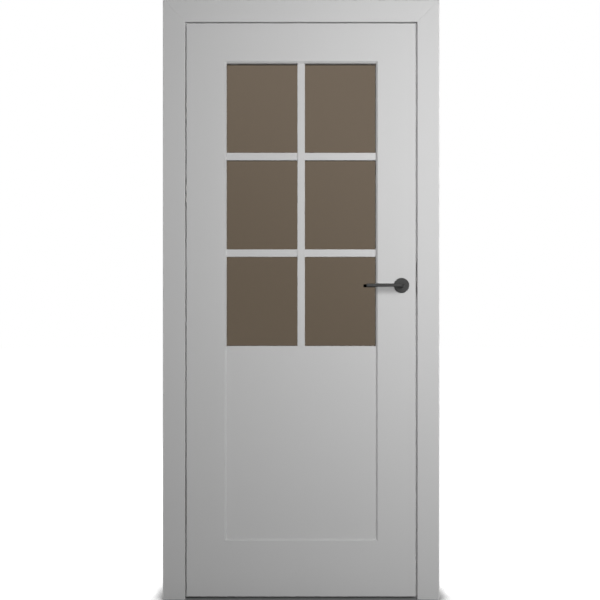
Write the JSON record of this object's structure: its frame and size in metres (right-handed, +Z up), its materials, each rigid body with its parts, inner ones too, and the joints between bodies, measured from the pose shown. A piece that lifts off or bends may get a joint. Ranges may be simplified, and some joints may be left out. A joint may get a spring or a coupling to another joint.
{
  "type": "interior door",
  "caption": "Flush interior door with a grid of bronze panes over a flat panel, hung on concealed hinges in a cased frame, with slim levers and a latch.",
  "frame": {"origin": "on the wall face of the hinge jamb, at mid depth of the wall, at floor level", "axes": "+X from the hinge side to the lock side, -Y towards the pull side, +Z up"},
  "size_m": [0.966, 0.1775, 2.093],
  "materials": {
    "lacquer": "smooth satin grey-white lacquer over wood fibre board",
    "bronze_glass": "polished bronze-tinted glass",
    "black_metal": "matte graphite black powder coat",
    "satin_metal": "satin nickel",
    "latch_metal": "satin steel",
    "seal": "soft grey seal"
  },
  "bodies": {
    "frame": {"back_casing_head": "lacquer", "back_casing_hinge": "lacquer", "back_casing_lock": "lacquer", "front_casing_head": "lacquer", "front_casing_hinge": "lacquer", "front_casing_lock": "lacquer", "head_jamb": "lacquer", "head_seal": "seal", "head_stop": "lacquer", "hinge_frame_body_lower": "satin_metal", "hinge_frame_body_middle": "satin_metal", "hinge_frame_body_upper": "satin_metal", "hinge_jamb": "lacquer", "hinge_seal": "seal", "hinge_stop": "lacquer", "lock_jamb": "lacquer", "lock_seal": "seal", "lock_stop": "lacquer", "strike_plate": "satin_metal"},
    "leaf": {"hinge_stile": "lacquer", "lock_stile": "lacquer", "top_rail": "lacquer", "bottom_rail": "lacquer", "lower_panel": "lacquer", "mullion": "lacquer", "cross_bars_lower": "lacquer", "cross_bars_upper": "lacquer", "panes_bottom": "bronze_glass", "panes_middle": "bronze_glass", "panes_top": "bronze_glass", "mortise_lock": "satin_metal", "front_rose": "black_metal", "back_rose": "black_metal", "hinge_leaf_body_upper": "satin_metal", "hinge_leaf_body_middle": "satin_metal", "hinge_leaf_body_lower": "satin_metal"},
    "hinge_links": {"hinge_arms_upper": "satin_metal", "hinge_arms_middle": "satin_metal", "hinge_arms_lower": "satin_metal"},
    "lever_set": {"front_lever": "black_metal", "back_lever": "black_metal", "spindle": "satin_metal"},
    "latch": {"latch_bolt": "latch_metal"}
  },
  "joints": [
    {"name": "leaf_swing", "type": "hinge", "parent": "frame", "child": "leaf", "pos_m": [0.0425, -0.064, 0], "axis": [0, 0, -1], "range_deg": [0, 100]},
    {"name": "hinge_link_turn", "type": "hinge", "parent": "frame", "child": "hinge_links", "pos_m": [0.0425, -0.064, 0], "axis": [0, 0, -1], "range_deg": [0, 43]},
    {"name": "lever_turn", "type": "hinge", "parent": "leaf", "child": "lever_set", "pos_m": [0.795, -0.042, 1.096], "axis": [0, -1, 0], "range_deg": [0, 45], "stiffness_Nm_per_rad": 1.2, "springref_deg": -45.84},
    {"name": "latch_slide", "type": "slide", "parent": "leaf", "child": "latch", "axis": [-1, 0, 0], "range_m": [-0.01, 0.003], "stiffness_N_per_m": 30}
  ],
  "couplings": [
    {"joint": "hinge_link_turn", "follows": "leaf_swing", "ratio": 0.43}
  ]
}
